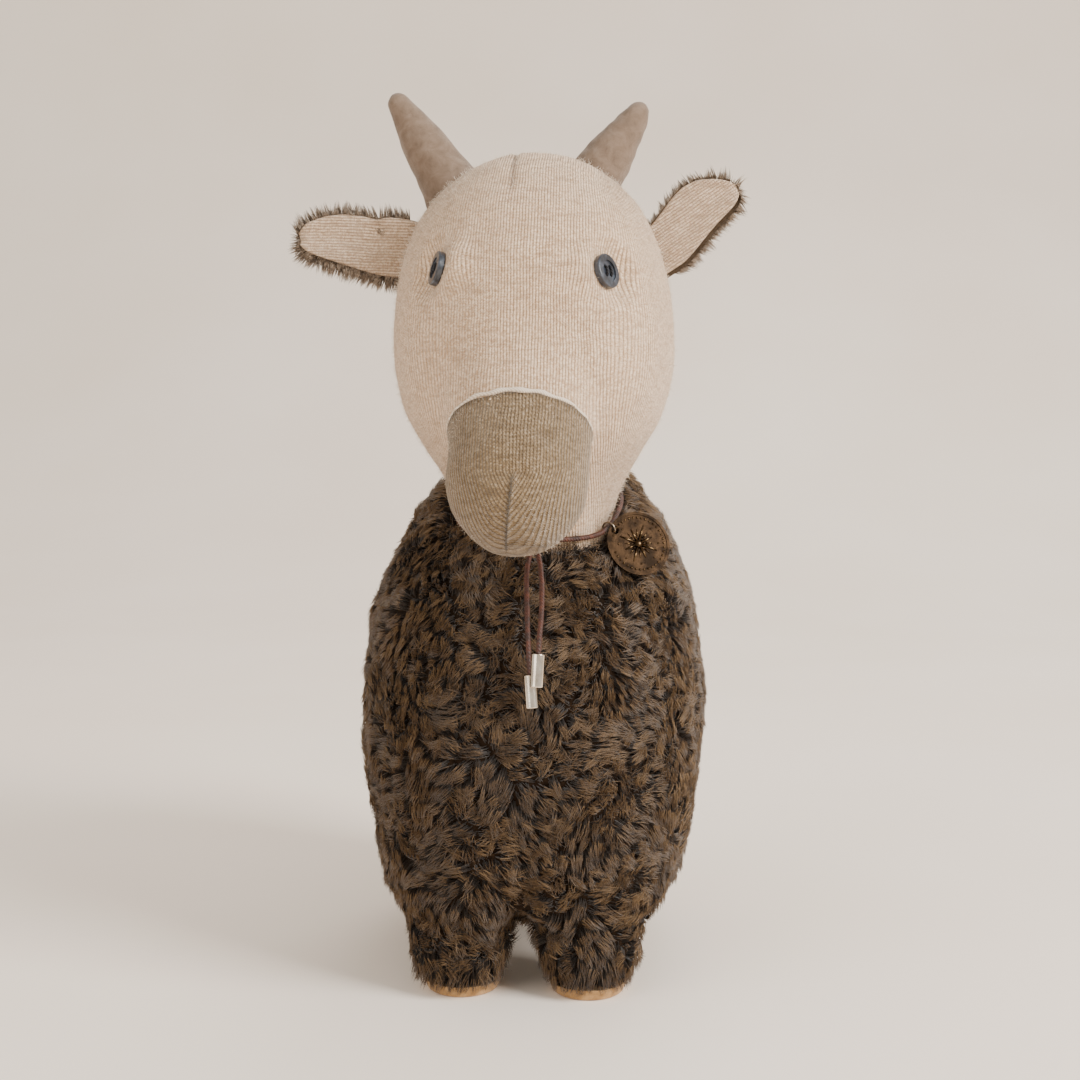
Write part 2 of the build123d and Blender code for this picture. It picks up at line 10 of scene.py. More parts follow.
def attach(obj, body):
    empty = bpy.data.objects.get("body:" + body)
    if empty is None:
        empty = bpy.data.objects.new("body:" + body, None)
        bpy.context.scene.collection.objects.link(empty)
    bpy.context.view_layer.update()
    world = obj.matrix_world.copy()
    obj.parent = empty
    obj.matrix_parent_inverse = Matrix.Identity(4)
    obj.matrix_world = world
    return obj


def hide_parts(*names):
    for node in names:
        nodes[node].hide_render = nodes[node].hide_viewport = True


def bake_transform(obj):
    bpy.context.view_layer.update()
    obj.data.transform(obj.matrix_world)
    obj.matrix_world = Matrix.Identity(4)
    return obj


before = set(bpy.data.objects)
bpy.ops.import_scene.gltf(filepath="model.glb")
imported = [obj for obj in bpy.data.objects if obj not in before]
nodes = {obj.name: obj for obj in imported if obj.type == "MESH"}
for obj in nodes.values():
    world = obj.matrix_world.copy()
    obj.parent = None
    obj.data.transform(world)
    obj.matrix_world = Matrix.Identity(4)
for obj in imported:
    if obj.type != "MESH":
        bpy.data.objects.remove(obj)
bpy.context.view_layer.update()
MM = 0.001
random = np.random.default_rng(7)

# ---- the goat's named places, in millimetres, as in the part ----
HEAD_X = 2.5
SIDE_SEAM_Y = -24.0
MUZZLE_AT = np.array([1.2, -73.4, 189.0])
MUZZLE_LEAN = math.radians(35)
MUZZLE_SEAM_RADIUS = 22.2
MUZZLE_FULL_AT = 15.0
MUZZLE_LENGTH = 40.9
BACK_CORD_ROUTE = [
    (3.4, -53.6, 152.2),
    (2.0, -57.4, 147.0),
    (2.6, -63.6, 138.2),
    (3.3, -69.6, 128.5),
    (4.1, -73.6, 117.5),
    (5.0, -75.4, 106.9),
]
FRONT_CORD_ROUTE = [
    (4.4, -56.0, 154.9),
    (6.4, -60.6, 149.8),
    (7.7, -66.4, 143.0),
    (8.1, -72.8, 134.2),
    (7.5, -77.6, 124.3),
    (7.05, -79.6, 114.2),
]
CORD_RADIUS = 0.85
KNOT_AT = (4.0, -52.2, 155.6)


# ---- camera ----
def make_camera():
    turn, tilt = math.radians(4.0), math.radians(4.0)
    away, aside, height = 0.536, 0.0024, 0.1886
    data = bpy.data.cameras.new("camera")
    data.lens = 49.47
    data.sensor_width = 36
    data.clip_start = 0.01
    camera = bpy.data.objects.new("camera", data)
    camera.location = (
        away * math.sin(turn) + aside * math.cos(turn),
        -away * math.cos(turn) + aside * math.sin(turn),
        height,
    )
    camera.rotation_euler = (math.pi / 2 - tilt, 0, turn)
    bpy.context.scene.collection.objects.link(camera)
    bpy.context.scene.camera = camera


make_camera()


# ---- cords ----
def curve_piece(name, kind, places, bevel, radii):
    """A round line on one spline through or along the places, which are in millimetres."""
    data = bpy.data.curves.new(name, "CURVE")
    data.dimensions = "3D"
    data.bevel_depth = bevel
    spline = data.splines.new(kind)
    spline.points.add(len(places) - 1)
    for point, place, radius in zip(spline.points, places, radii):
        point.co = (*(Vector(place) * MM), 1)
        point.radius = radius
    piece = bpy.data.objects.new(name, data)
    bpy.context.scene.collection.objects.link(piece)
    return piece, spline


def nurbs_cord(name, route, radius):
    """A round cord on one smooth curve, with the route's points as its control points.

    Its thickness is in the points' own radius, because that also widens the curve's box."""
    piece, spline = curve_piece(name, "NURBS", route, 1.0, [radius * MM] * len(route))
    piece.data.bevel_resolution = 3
    piece.data.resolution_u = 10
    piece.data.use_fill_caps = True
    spline.order_u = 3
    spline.use_endpoint_u = True
    return piece


def make_cords():
    made = []
    for name, route in (("back", BACK_CORD_ROUTE), ("front", FRONT_CORD_ROUTE)):
        cord = nurbs_cord(f"{name}_cord_line", route, CORD_RADIUS)
        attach(cord, f"{name}_cord")
        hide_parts(f"{name}_hanging_cord")
        made.append(cord)
    return made


hanging_cords = make_cords()


# ---- node material helpers ----
class Shader:
    """A principled material and short calls that add and join its nodes."""

    def __init__(self, name, roughness=0.8, metallic=0.0, **sockets):
        self.material = bpy.data.materials.new(name)
        self.material.use_nodes = True
        self.tree = self.material.node_tree
        self.base = self.tree.nodes["Principled BSDF"]
        self.base.inputs["Roughness"].default_value = roughness
        self.base.inputs["Metallic"].default_value = metallic
        for socket, value in sockets.items():
            self.base.inputs[socket.replace("_", " ").title()].default_value = value

    def node(self, kind, **settings):
        made = self.tree.nodes.new(kind)
        for name, value in settings.items():
            setattr(made, name, value)
        return made

    def join(self, source, target):
        self.tree.links.new(source, target)

    def feed(self, target, value):
        if isinstance(value, (int, float)):
            target.default_value = value
        else:
            self.join(value, target)

    def math(self, operation, a, b=0.0):
        made = self.node("ShaderNodeMath", operation=operation)
        self.feed(made.inputs[0], a)
        self.feed(made.inputs[1], b)
        return made.outputs[0]

    def place(self):
        return self.node("ShaderNodeTexCoord").outputs["Object"]

    def split(self, vector):
        made = self.node("ShaderNodeSeparateXYZ")
        self.join(vector, made.inputs[0])
        return made.outputs

    def noise(self, vector, size, detail=2.0, roughness=0.5, distortion=0.0):
        """Noise whose lumps are about size millimetres across."""
        made = self.node("ShaderNodeTexNoise")
        self.join(vector, made.inputs["Vector"])
        made.inputs["Scale"].default_value = 1 / (size * MM)
        made.inputs["Detail"].default_value = detail
        made.inputs["Roughness"].default_value = roughness
        made.inputs["Distortion"].default_value = distortion
        return made.outputs["Fac"]

    def ramp(self, value, stops):
        made = self.node("ShaderNodeValToRGB")
        self.feed(made.inputs[0], value)
        ramp = made.color_ramp
        while len(ramp.elements) < len(stops):
            ramp.elements.new(0.5)
        for element, (at, colour) in zip(ramp.elements, stops):
            element.position = at
            element.color = (*colour, 1)
        return made.outputs["Color"]

    def mix(self, factor, a, b, blend="MIX"):
        made = self.node("ShaderNodeMix", data_type="RGBA", blend_type=blend)
        self.feed(made.inputs["Factor"], factor)
        for socket, value in ((made.inputs[6], a), (made.inputs[7], b)):
            if isinstance(value, tuple):
                socket.default_value = (*value, 1)
            else:
                self.join(value, socket)
        return made.outputs[2]

    def attribute(self, name):
        return self.node("ShaderNodeAttribute", attribute_name=name).outputs["Fac"]

    def colour(self, value):
        if isinstance(value, tuple):
            self.base.inputs["Base Color"].default_value = (*value, 1)
        else:
            self.join(value, self.base.inputs["Base Color"])

    def bump(self, height, depth, strength=1.0):
        made = self.node("ShaderNodeBump")
        made.inputs["Strength"].default_value = strength
        made.inputs["Distance"].default_value = depth * MM
        self.join(height, made.inputs["Height"])
        self.join(made.outputs[0], self.base.inputs["Normal"])


def rgb(red, green, blue):
    """A colour as seen, 0 to 255, in the linear values that a shader takes."""

    def linear(value):
        value /= 255
        return value / 12.92 if value <= 0.04045 else ((value + 0.055) / 1.055) ** 2.4

    return (linear(red), linear(green), linear(blue))


def mixed(a, b, share):
    return tuple(x + (y - x) * share for x, y in zip(a, b))


# ---- materials; sizes are in millimetres ----
WALE = 0.95  # from one column of stitches to the next
COURSE = 0.75  # from one row to the next
MUZZLE_WALE = 1.0


def knit_material(name, yarn, fleck, shade, wale=WALE):
    """Fine jersey: columns of V stitches along the knit map, heathered yarn, with painted shade in the gaps
    between the columns and along seams.
    """
    s = Shader(name, roughness=0.95, sheen_weight=0.25, sheen_roughness=0.5)
    s.base.inputs["Specular IOR Level"].default_value = 0.2
    knit = s.node("ShaderNodeUVMap", uv_map="knit").outputs[0]
    across, along, _ = s.split(knit)
    wobble = s.math("MULTIPLY", s.noise(s.place(), 14, 2), 1.2)
    across = s.math("ADD", s.math("DIVIDE", across, wale), wobble)
    column = s.math("FRACT", across)
    ridge = s.math("ABSOLUTE", s.math("SUBTRACT", column, 0.5))
    edge = s.math("MULTIPLY", ridge, 2.0)
    wale_height = s.math("SUBTRACT", 1.0, s.math("POWER", edge, 2.0))
    leaning = s.math("ADD", s.math("DIVIDE", along, COURSE), s.math("MULTIPLY", ridge, 1.2))
    course = s.math("SINE", s.math("MULTIPLY", leaning, 2 * math.pi))
    stitch = s.math("ADD", wale_height, s.math("MULTIPLY", course, 0.22))
    fibres = s.noise(s.place(), 0.5, 4, 0.7)
    height = s.math("ADD", stitch, s.math("MULTIPLY", fibres, 0.5))
    heather = s.ramp(
        s.noise(s.place(), 0.8, 4, 0.75),
        [
            (0.30, mixed(fleck, shade, 0.5)),
            (0.44, fleck),
            (0.56, yarn),
            (0.72, mixed(yarn, (1, 1, 1), 0.18)),
        ],
    )
    # Painted shade: the colour darkens in the gaps between the stitch columns.
    shaded_gaps = s.mix(s.math("MULTIPLY", s.math("POWER", edge, 2.5), 0.74), heather, shade)
    cloudy = s.mix(s.math("MULTIPLY", s.noise(s.place(), 22, 3), 0.30), shaded_gaps, fleck)
    stretch = s.node("ShaderNodeVectorMath", operation="MULTIPLY")
    s.join(s.place(), stretch.inputs[0])
    stretch.inputs[1].default_value = (0.2, 0.5, 1.0)
    streaks = s.noise(stretch.outputs[0], 1.6, 3, 0.6)
    slubs = s.ramp(streaks, [(0.47, (0, 0, 0)), (0.66, (0.6, 0.6, 0.6))])
    cloudy = s.mix(slubs, cloudy, mixed(fleck, shade, 0.55))
    # Painted shade: where the "seam" attribute is high, the colour darkens to stand for shade in seam
    # grooves and creases, and low on the muzzle.
    s.colour(s.mix(s.attribute("seam"), cloudy, mixed(shade, (0, 0, 0), 0.35)))
    s.bump(height, 0.42, 0.9)
    return s.material


def suede_material(name, main, dark, light):
    s = Shader(name, roughness=0.92, sheen_weight=0.3, sheen_roughness=0.4)
    s.base.inputs["Specular IOR Level"].default_value = 0.25
    brushed = s.noise(s.place(), 5, 5, 0.7, 0.4)
    nap = s.noise(s.place(), 0.35, 3, 0.7)
    tone = s.ramp(brushed, [(0.32, dark), (0.5, main), (0.68, light)])
    tone = s.mix(s.math("MULTIPLY", nap, 0.25), tone, dark)
    # Painted shade: the "seam" attribute darkens the colour in seam grooves.
    s.colour(s.mix(s.attribute("seam"), tone, mixed(dark, (0, 0, 0), 0.5)))
    s.bump(s.math("ADD", nap, s.math("MULTIPLY", brushed, 0.6)), 0.18, 0.7)
    return s.material


def cord_material():
    s = Shader("waxed_cord", roughness=0.55)
    strands = s.node("ShaderNodeTexWave", wave_type="BANDS", bands_direction="DIAGONAL")
    s.join(s.place(), strands.inputs["Vector"])
    strands.inputs["Scale"].default_value = 420
    strands.inputs["Distortion"].default_value = 1.5
    wear = s.noise(s.place(), 2.2, 3)
    tone = s.ramp(wear, [(0.35, rgb(40, 18, 10)), (0.55, rgb(72, 33, 18)), (0.75, rgb(98, 50, 28))])
    s.colour(s.mix(s.math("MULTIPLY", strands.outputs["Fac"], 0.35), tone, rgb(40, 18, 12)))
    s.bump(strands.outputs["Fac"], 0.2, 0.8)
    return s.material


def metal_material(name, bright, dull, roughness, size):
    s = Shader(name, metallic=1.0, roughness=roughness)
    patina = s.noise(s.place(), size, 4, 0.6)
    s.colour(s.ramp(patina, [(0.38, dull), (0.62, bright)]))
    smear = s.node("ShaderNodeMapRange")
    s.join(s.noise(s.place(), size * 0.6, 3), smear.inputs[0])
    smear.inputs[3].default_value = roughness * 0.7
    smear.inputs[4].default_value = roughness * 1.4
    s.join(smear.outputs[0], s.base.inputs["Roughness"])
    s.bump(s.noise(s.place(), 0.5, 3), 0.04, 0.4)
    return s.material


def button_material():
    s = Shader("button_resin", roughness=0.32, coat_weight=0.3)
    cloud = s.noise(s.place(), 3.0, 4, 0.6, 1.0)
    s.colour(s.ramp(cloud, [(0.35, rgb(24, 27, 34)), (0.55, rgb(46, 52, 62)), (0.75, rgb(82, 90, 102))]))
    s.bump(s.noise(s.place(), 0.6, 3), 0.05, 0.5)
    return s.material


def thread_material(name, dark, light):
    s = Shader(name, roughness=0.85)
    twist = s.node("ShaderNodeTexWave", wave_type="BANDS", bands_direction="DIAGONAL")
    s.join(s.place(), twist.inputs["Vector"])
    twist.inputs["Scale"].default_value = 700
    s.colour(s.mix(twist.outputs["Fac"], dark, light))
    s.bump(twist.outputs["Fac"], 0.12, 0.8)
    return s.material


def backing_material(name, dark, main, light):
    s = Shader(name, roughness=1.0)
    s.base.inputs["Specular IOR Level"].default_value = 0.1
    lumps = s.noise(s.place(), 3.0, 5, 0.7)
    s.colour(s.ramp(lumps, [(0.35, dark), (0.6, main), (0.8, light)]))
    s.bump(lumps, 1.2, 1.0)
    return s.material


def strand_material(name, colour):
    s = Shader(name, roughness=0.75, sheen_weight=0.15)
    s.base.inputs["Specular IOR Level"].default_value = 0.25
    s.colour(colour)
    return s.material


FACE = knit_material("face_jersey", rgb(240, 215, 186), rgb(204, 170, 136), rgb(128, 98, 72))
MUZZLE = knit_material("muzzle_jersey", rgb(154, 133, 104), rgb(118, 96, 68), rgb(56, 42, 26), MUZZLE_WALE)
EAR = knit_material("ear_jersey", rgb(224, 200, 174), rgb(188, 160, 132), rgb(122, 98, 76))
SUEDE = suede_material("horn_suede", rgb(120, 102, 87), rgb(102, 86, 72), rgb(134, 116, 101))
HOOF = suede_material("hoof_suede", rgb(172, 134, 88), rgb(140, 104, 62), rgb(194, 158, 112))
CORD = cord_material()
TIP = metal_material("tip_nickel", rgb(226, 216, 202), rgb(196, 182, 164), 0.13, 6)
RING = metal_material("ring_nickel", rgb(150, 138, 122), rgb(96, 84, 70), 0.3, 2)
MEDAL = metal_material("medal_nickel", rgb(36, 26, 17), rgb(17, 12, 8), 0.27, 4)
RELIEF = metal_material("medal_high_spots", rgb(96, 77, 54), rgb(50, 38, 25), 0.24, 3)
BUTTON = button_material()
THREAD = thread_material("black_thread", rgb(10, 10, 12), rgb(44, 46, 52))
SEAM = thread_material("seam_thread", rgb(190, 172, 152), rgb(232, 218, 200))
# The fur's backing cloth is real, but its very dark colour is painted shade for the dark between the tufts.
BACKING = backing_material("fur_backing", rgb(26, 18, 12), rgb(46, 34, 24), rgb(64, 50, 37))
EAR_BACKING = backing_material("ear_backing", rgb(66, 54, 42), rgb(86, 72, 58), rgb(104, 89, 74))
FUR = [
    strand_material("fur_root_warm", rgb(34, 22, 11)),
    strand_material("fur_root_grey", rgb(42, 29, 16)),
    strand_material("fur_tip_dark", rgb(66, 47, 26)),
    strand_material("fur_tip_warm", rgb(87, 65, 40)),
    strand_material("fur_tip_pale", rgb(110, 87, 60)),
]
EAR_FUR = [
    strand_material("ear_fur_root_warm", rgb(84, 68, 52)),
    strand_material("ear_fur_root_grey", rgb(94, 79, 63)),
    strand_material("ear_fur_tip_dark", rgb(110, 93, 76)),
    strand_material("ear_fur_tip_warm", rgb(134, 116, 98)),
    strand_material("ear_fur_tip_pale", rgb(158, 141, 123)),
]
FUZZ = strand_material("jersey_fuzz", rgb(236, 222, 204))


# ---- mesh helpers ----
def new_piece(name, vertices, faces, material=None):
    mesh = bpy.data.meshes.new(name)
    mesh.from_pydata([tuple(v) for v in vertices], [], [tuple(f) for f in faces])
    mesh.update()
    piece = bpy.data.objects.new(name, mesh)
    bpy.context.scene.collection.objects.link(piece)
    if material:
        mesh.materials.append(material)
    mesh.shade_smooth()
    return piece


def points(piece):
    co = np.empty(len(piece.data.vertices) * 3)
    piece.data.vertices.foreach_get("co", co)
    return co.reshape(-1, 3)


def normals(piece):
    out = np.empty(len(piece.data.vertices) * 3)
    piece.data.vertices.foreach_get("normal", out)
    return out.reshape(-1, 3)


def move_points(piece, co):
    piece.data.vertices.foreach_set("co", co.astype(np.float32).ravel())
    piece.data.update()


def apply_modifiers(piece):
    bpy.context.view_layer.update()
    evaluated = piece.evaluated_get(bpy.context.evaluated_depsgraph_get())
    mesh = bpy.data.meshes.new_from_object(evaluated)
    piece.modifiers.clear()
    piece.data = mesh
    mesh.shade_smooth()


def soft_copy(name, members, voxel, smooth=6):
    """The CAD nodes joined into one soft closed skin."""
    vertices, faces, base = [], [], 0
    for node in members:
        mesh = nodes[node].data
        vertices.extend(v.co.copy() for v in mesh.vertices)
        faces.extend([base + i for i in polygon.vertices] for polygon in mesh.polygons)
        base += len(mesh.vertices)
    piece = new_piece(name, vertices, faces)
    remesh = piece.modifiers.new("remesh", "REMESH")
    remesh.mode = "VOXEL"
    remesh.voxel_size = voxel * MM
    relax = piece.modifiers.new("relax", "SMOOTH")
    relax.iterations = smooth
    relax.factor = 0.5
    apply_modifiers(piece)
    return piece


def stuff(piece, pressure, cap, frames=16):
    """A short cloth simulation: the skin swells against its stuffing, but moves no further than cap."""
    before = points(piece)
    cloth = piece.modifiers.new("cloth", "CLOTH")
    cloth.settings.use_pressure = True
    cloth.settings.uniform_pressure_force = pressure
    cloth.settings.quality = 4
    cloth.settings.mass = 0.3
    cloth.settings.tension_stiffness = 12
    cloth.settings.compression_stiffness = 12
    cloth.settings.bending_stiffness = 0.6
    cloth.settings.effector_weights.gravity = 0
    scene = bpy.context.scene
    for step in range(1, frames + 1):
        scene.frame_set(step)
    apply_modifiers(piece)
    scene.frame_set(1)
    moved = points(piece) - before
    far = np.linalg.norm(moved, axis=1, keepdims=True)
    move_points(piece, before + moved * np.minimum(1, cap * MM / np.maximum(far, 1e-9)))


def subdivide(piece, levels=1):
    modifier = piece.modifiers.new("finer", "SUBSURF")
    modifier.levels = modifier.render_levels = levels
    apply_modifiers(piece)


def lumps(co, size, seed):
    """Smooth noise between -1 and 1 at each point, from a few crossed waves."""
    waves = np.random.default_rng(seed)
    total = np.zeros(len(co))
    for _ in range(7):
        direction = waves.normal(size=3)
        direction *= waves.uniform(0.7, 1.4) * 2 * math.pi / (np.linalg.norm(direction) * size * MM)
        total += np.sin(co @ direction + waves.uniform(0, 2 * math.pi))
    return total / 3.5  # brings the sum of the waves to about one


def set_float(piece, name, values):
    attribute = piece.data.attributes.new(name, "FLOAT", "POINT")
    attribute.data.foreach_set("value", np.asarray(values, np.float32))


def set_knit_map(piece, across, along):
    """Stores where each point lies on the knitted cloth, in millimetres."""
    mesh = piece.data
    layer = mesh.uv_layers.new(name="knit")
    corner = np.empty(len(mesh.loops), int)
    mesh.loops.foreach_get("vertex_index", corner)
    uv = np.stack([across[corner], along[corner]], axis=1)
    layer.data.foreach_set("uv", uv.astype(np.float32).ravel())


def dip(distance, width):
    return np.exp(-((distance / width) ** 2))


# ---- knitted head ----
BUTTON_HALF = 1.15  # from a button's middle to its back
SOCKET_REACH = 13.5
SOCKET_SLOPE = 8.0
HEAD_FRONT_ROUND = 53.0  # radius that the knit wraps round, seen from the front
HEAD_SIDE_ROUND = 47.0  # and round the side
HEAD_PIECES = ["face_panel", "throat_gusset", "head_back_left", "head_back_right", "head_stuffing"]


def ease(share):
    return share * share * (3 - 2 * share)


def disc_axis(node):
    """Middle of a flat round node and the outward direction of its axis, in millimetres."""
    disc = points(node) / MM
    middle = (disc.min(0) + disc.max(0)) / 2
    axis = np.linalg.svd(disc - disc.mean(0), full_matrices=False)[2][2]
    return middle, axis * (-1 if axis[1] > 0 else 1)


def press_socket(co, button):
    """The cloth follows the back of a button that is drawn tight with thread, and eases out round it."""
    middle, axis = disc_axis(button)
    back = middle - axis * BUTTON_HALF
    height = (co - back) @ axis
    away = np.linalg.norm(co - back - height[:, None] * axis, axis=1)
    share = ease(np.clip((SOCKET_REACH - away) / SOCKET_SLOPE, 0, 1)) * (np.abs(height) < 9)
    return co - (share * height)[:, None] * axis


def make_head():
    head = soft_copy("head_knit", HEAD_PIECES, 2.4)
    stuff(head, 3.0, 0.8)
    subdivide(head)
    co, out = points(head) / MM, normals(head)
    x, y, z = co.T
    crown = dip(x + 2.4 + 0.03 * (z - 282), 0.8) * (z > 262) * np.clip((z - 263) / 6, 0, 1)
    nape = dip(x - HEAD_X, 0.8) * (y >= SIDE_SEAM_Y)
    sides = dip(y - SIDE_SEAM_Y - 1.5 * np.sin(z / 17), 0.8) * (z < 268)
    seam = np.clip(crown + nape + sides, 0, 1)
    pleats = np.sin(np.arctan2(x - HEAD_X, -(y + 5)) * 19) * np.clip((174 - z) / 12, 0, 1)
    uneven = 0.35 * lumps(points(head), 38, 3) + 0.14 * lumps(points(head), 13, 4)
    depth = -0.75 * seam + uneven + 0.3 * pleats
    shaped = co + out * depth[:, None]
    for side in ("right", "left"):
        shaped = press_socket(shaped, nodes[f"{side}_eye_button"])
    move_points(head, shaped * MM)
    around = np.arcsin(np.clip((x - HEAD_X) / HEAD_FRONT_ROUND, -1, 1)) * HEAD_FRONT_ROUND
    meridian = np.arctan2(x - HEAD_X, np.abs(y - SIDE_SEAM_Y)) * HEAD_SIDE_ROUND
    around += (meridian - around) * ease(np.clip((np.abs(x - HEAD_X) - 20) / 22, 0, 1))
    gather = np.clip((z - 250) / 40, 0, 1) ** 2
    set_knit_map(head, around * (1 + 0.25 * gather), z - 0.35 * y)
    # Painted shade: the colour darkens along the crown, nape and side seams, where the cloth dips in.
    set_float(head, "seam", np.clip(0.75 * seam, 0, 1))
    head.data.materials.append(FACE)
    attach(head, "goat")
    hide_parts(*HEAD_PIECES)
    return head


head = make_head()


# ---- muzzle ----
MUZZLE_TUCK = 1.5  # how far the cap runs on under the seam
DART_TOP = 178.5
MUZZLE_ROUND = 25.0  # radius that its knit wraps round
muzzle_down = np.array([0, -math.sin(MUZZLE_LEAN), -math.cos(MUZZLE_LEAN)])
muzzle_front = np.array([0, -math.cos(MUZZLE_LEAN), math.sin(MUZZLE_LEAN)])


def muzzle_radius(along):
    """The muzzle's radius at a distance along its axis: nearly straight, then a round end."""
    start = MUZZLE_SEAM_RADIUS - 0.3 * np.clip(along / MUZZLE_FULL_AT, 0, 1)
    ending = np.clip((along - MUZZLE_FULL_AT) / (MUZZLE_LENGTH - MUZZLE_FULL_AT), 0, 1)
    return start * np.sqrt(np.clip(1 - ending**2.15, 0, 1))


def make_muzzle():
    rings, spokes = 110, 220
    run = 1 - (1 - np.linspace(0, 1, rings)) ** 1.6
    along = -MUZZLE_TUCK + (MUZZLE_LENGTH + MUZZLE_TUCK) * run
    radius = muzzle_radius(np.maximum(along, 0))
    radius = np.where(along < 0, radius - 0.9, radius)
    turn = np.linspace(0, 2 * math.pi, spokes, endpoint=False)
    rows, cols = np.meshgrid(np.arange(rings), np.arange(spokes), indexing="ij")
    across = np.sin(turn)[cols]
    forward = np.cos(turn)[cols]
    co = (
        MUZZLE_AT
        + along[rows][..., None] * muzzle_down
        + (radius[rows] * across)[..., None] * np.array([1.0, 0, 0])
        + (radius[rows] * forward)[..., None] * muzzle_front
    ).reshape(-1, 3)
    faces = []
    for i in range(rings - 1):
        for j in range(spokes):
            k = (j + 1) % spokes
            here, beyond = i * spokes, (i + 1) * spokes
            faces.append((here + j, here + k, beyond + k, beyond + j))
    muzzle = new_piece("muzzle_knit", co * MM, faces, MUZZLE)
    out = normals(muzzle)
    x, y, z = co.T
    below = np.clip(DART_TOP - z, 0, None)
    facing = forward.reshape(-1) > -0.35
    dart_line = x - (2.0 - 0.125 * below)
    dart = dip(dart_line, 0.7) * np.clip(below / 3, 0, 1) * np.clip((z - 150) / 4, 0, 1) * facing
    puckers = dip(dart_line, 5) * np.sin(z * 1.9) * np.clip(below / 8, 0, 1) * facing
    mouth_line = z - (156.6 - 0.012 * (x - 6) ** 2)
    mouth = dip(mouth_line, 0.6) * np.clip((x + 1) / 2, 0, 1) * np.clip((17 - x) / 4, 0, 1) * facing
    rim = dip(along[rows].reshape(-1), 1.4)
    depth = -0.8 * dart - 0.45 * mouth - 0.12 * puckers - 0.5 * rim
    depth += 0.3 * lumps(co * MM, 24, 11) + 0.12 * lumps(co * MM, 9, 12)
    move_points(muzzle, (co + out * depth[:, None]) * MM)
    side = np.sign(dart_line)
    slant = side * 0.62 * below * np.exp(-np.abs(dart_line) / 13)
    wrapped = np.arcsin(np.clip((x - MUZZLE_AT[0]) / MUZZLE_ROUND, -1, 1)) * MUZZLE_ROUND
    set_knit_map(muzzle, wrapped + slant, z - 0.5 * y)
    # Painted shade: the colour darkens in the dart, along the mouth line, under the seam ridge and towards
    # the muzzle's bottom.
    low_painted_shade = 0.24 * np.clip((176 - z) / 20, 0, 1)
    set_float(muzzle, "seam", np.clip(0.55 * dart + 0.3 * mouth + 0.5 * rim + low_painted_shade, 0, 1))
    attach(muzzle, "goat")
    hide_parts("muzzle_cap")
    return muzzle


muzzle = make_muzzle()


def make_muzzle_seam():
    """The turned edge of the face that stands up as a thin pale ridge over the muzzle's cap."""
    steps = 160
    turn = np.linspace(-math.pi, math.pi, steps, endpoint=False)
    lift = 0.25 + 0.25 * np.clip(np.cos(turn), 0, 1)
    radius = MUZZLE_SEAM_RADIUS + lift + 0.12 * np.sin(turn * 23) + 0.1 * np.sin(turn * 9 + 1)
    line = (
        MUZZLE_AT
        + (-0.5 + 0.2 * np.sin(turn * 14))[:, None] * muzzle_down
        + (radius * np.sin(turn))[:, None] * np.array([1.0, 0, 0])
        + (radius * np.cos(turn))[:, None] * muzzle_front
    )
    radii = [0.6 + 0.9 * max(0.0, math.cos(a)) ** 2 + 0.25 * math.sin(a * 19) for a in turn]
    seam, spline = curve_piece("muzzle_seam_ridge", "POLY", line, 0.5 * MM, radii)
    spline.use_cyclic_u = True
    seam.data.materials.append(SEAM)
    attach(seam, "goat")
    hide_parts("muzzle_seam_thread")


make_muzzle_seam()


# ---- horns ----
def make_horn(side):
    horn = soft_copy(f"{side}_horn_suede", [f"{side}_horn_cover", f"{side}_horn_stuffing"], 0.9, 4)
    co, out = points(horn) / MM, normals(horn)
    low, high = co.min(0), co.max(0)
    rise = (co[:, 2] - low[2]) / (high[2] - low[2])
    swell = 0.4 + 0.8 * np.sin(np.clip(rise, 0, 1) * math.pi)
    seam = dip(co[:, 1] - co[:, 1].mean() - 0.3, 0.55) * (out[:, 0] * (1 if side == "right" else -1) > 0)
    uneven = 0.35 * lumps(points(horn), 16, 21) + 0.12 * lumps(points(horn), 5, 22)
    depth = swell - 0.35 * seam + uneven
    move_points(horn, (co + out * depth[:, None]) * MM)
    # Painted shade: the colour darkens along the horn's seam groove.
    set_float(horn, "seam", 0.4 * seam)
    horn.data.materials.append(SUEDE)
    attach(horn, "goat")
    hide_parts(f"{side}_horn_cover")


for side in ("right", "left"):
    make_horn(side)


# ---- fur: many thin tapered strands, each a closed three-sided spike with one bend ----
BODY_STRANDS = 1.9  # on each square millimetre
EAR_STRANDS = 5.0
TAIL_STRANDS = 2.6
FUZZ_STRANDS = 0.45
BODY_THICKER = 1.0
TRIM_THICKER = 1.0
MAX_STRANDS = 19000  # in one piece


